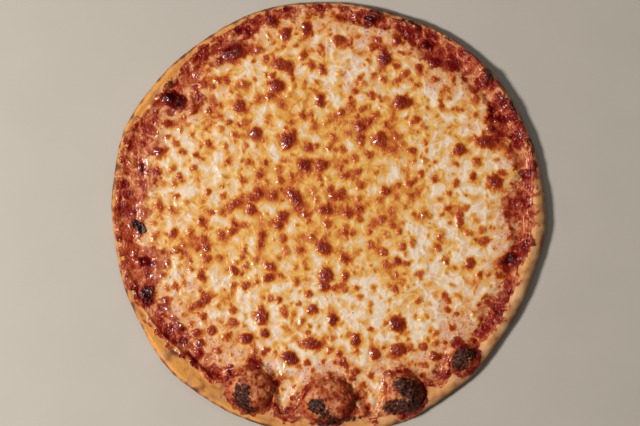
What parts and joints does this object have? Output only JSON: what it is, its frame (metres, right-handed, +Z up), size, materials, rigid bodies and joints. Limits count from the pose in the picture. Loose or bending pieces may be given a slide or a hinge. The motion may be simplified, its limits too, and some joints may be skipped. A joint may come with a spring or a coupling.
{
  "type": "cheese pizza",
  "caption": "Whole round cheese pizza, freshly baked: browned, blistered cheese, a ring of red sauce, and a thin uneven crust with big charred bubbles on one side.",
  "frame": {"origin": "Centre of the pizza's outline as seen from above, on the flat underside of the crust", "axes": "+Z up out of the cheese side; +Y towards the picture's top edge, with the great crust bubbles at -Y; +X to the picture's right"},
  "size_m": [0.3574, 0.3556, 0.0217],
  "materials": {
    "baked_dough": "baked wheat dough, matte, pale tan to orange brown with charred spots",
    "tomato_sauce": "cooked tomato sauce, wet and glossy, deep red",
    "melted_cheese": "melted mozzarella, cream to gold with brown blisters, oily sheen"
  },
  "bodies": {
    "root": {"crust": "baked_dough", "sauce": "tomato_sauce", "cheese": "melted_cheese"}
  },
  "joints": []
}
